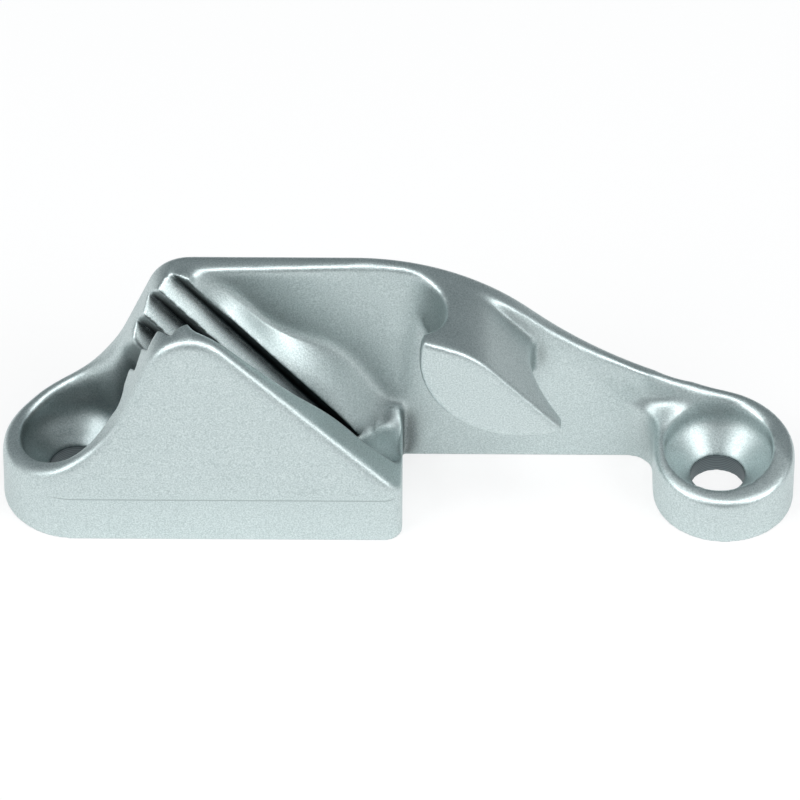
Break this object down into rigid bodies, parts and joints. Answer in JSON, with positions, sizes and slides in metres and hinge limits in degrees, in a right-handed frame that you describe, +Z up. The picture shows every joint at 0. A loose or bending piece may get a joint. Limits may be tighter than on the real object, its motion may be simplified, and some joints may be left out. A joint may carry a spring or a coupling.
{
  "type": "jam cleat",
  "caption": "One-piece cast aluminium jam cleat: toothed V jaws grip a thin rope, a round horn keeps it down, and two countersunk holes fix it to a deck.",
  "frame": {"origin": "middle of the flat base, at the centre of the bounding box's bottom", "axes": "+X along the rope from the round toothed end to the round lug beside the horn, +Y from the open side to the back wall, +Z up from the deck"},
  "size_m": [0.082, 0.0152, 0.0264],
  "materials": {
    "cast_alloy": "bead-blasted and clear anodised casting, matt silver grey"
  },
  "bodies": {
    "root": {"jam_cleat": "cast_alloy"}
  },
  "joints": []
}
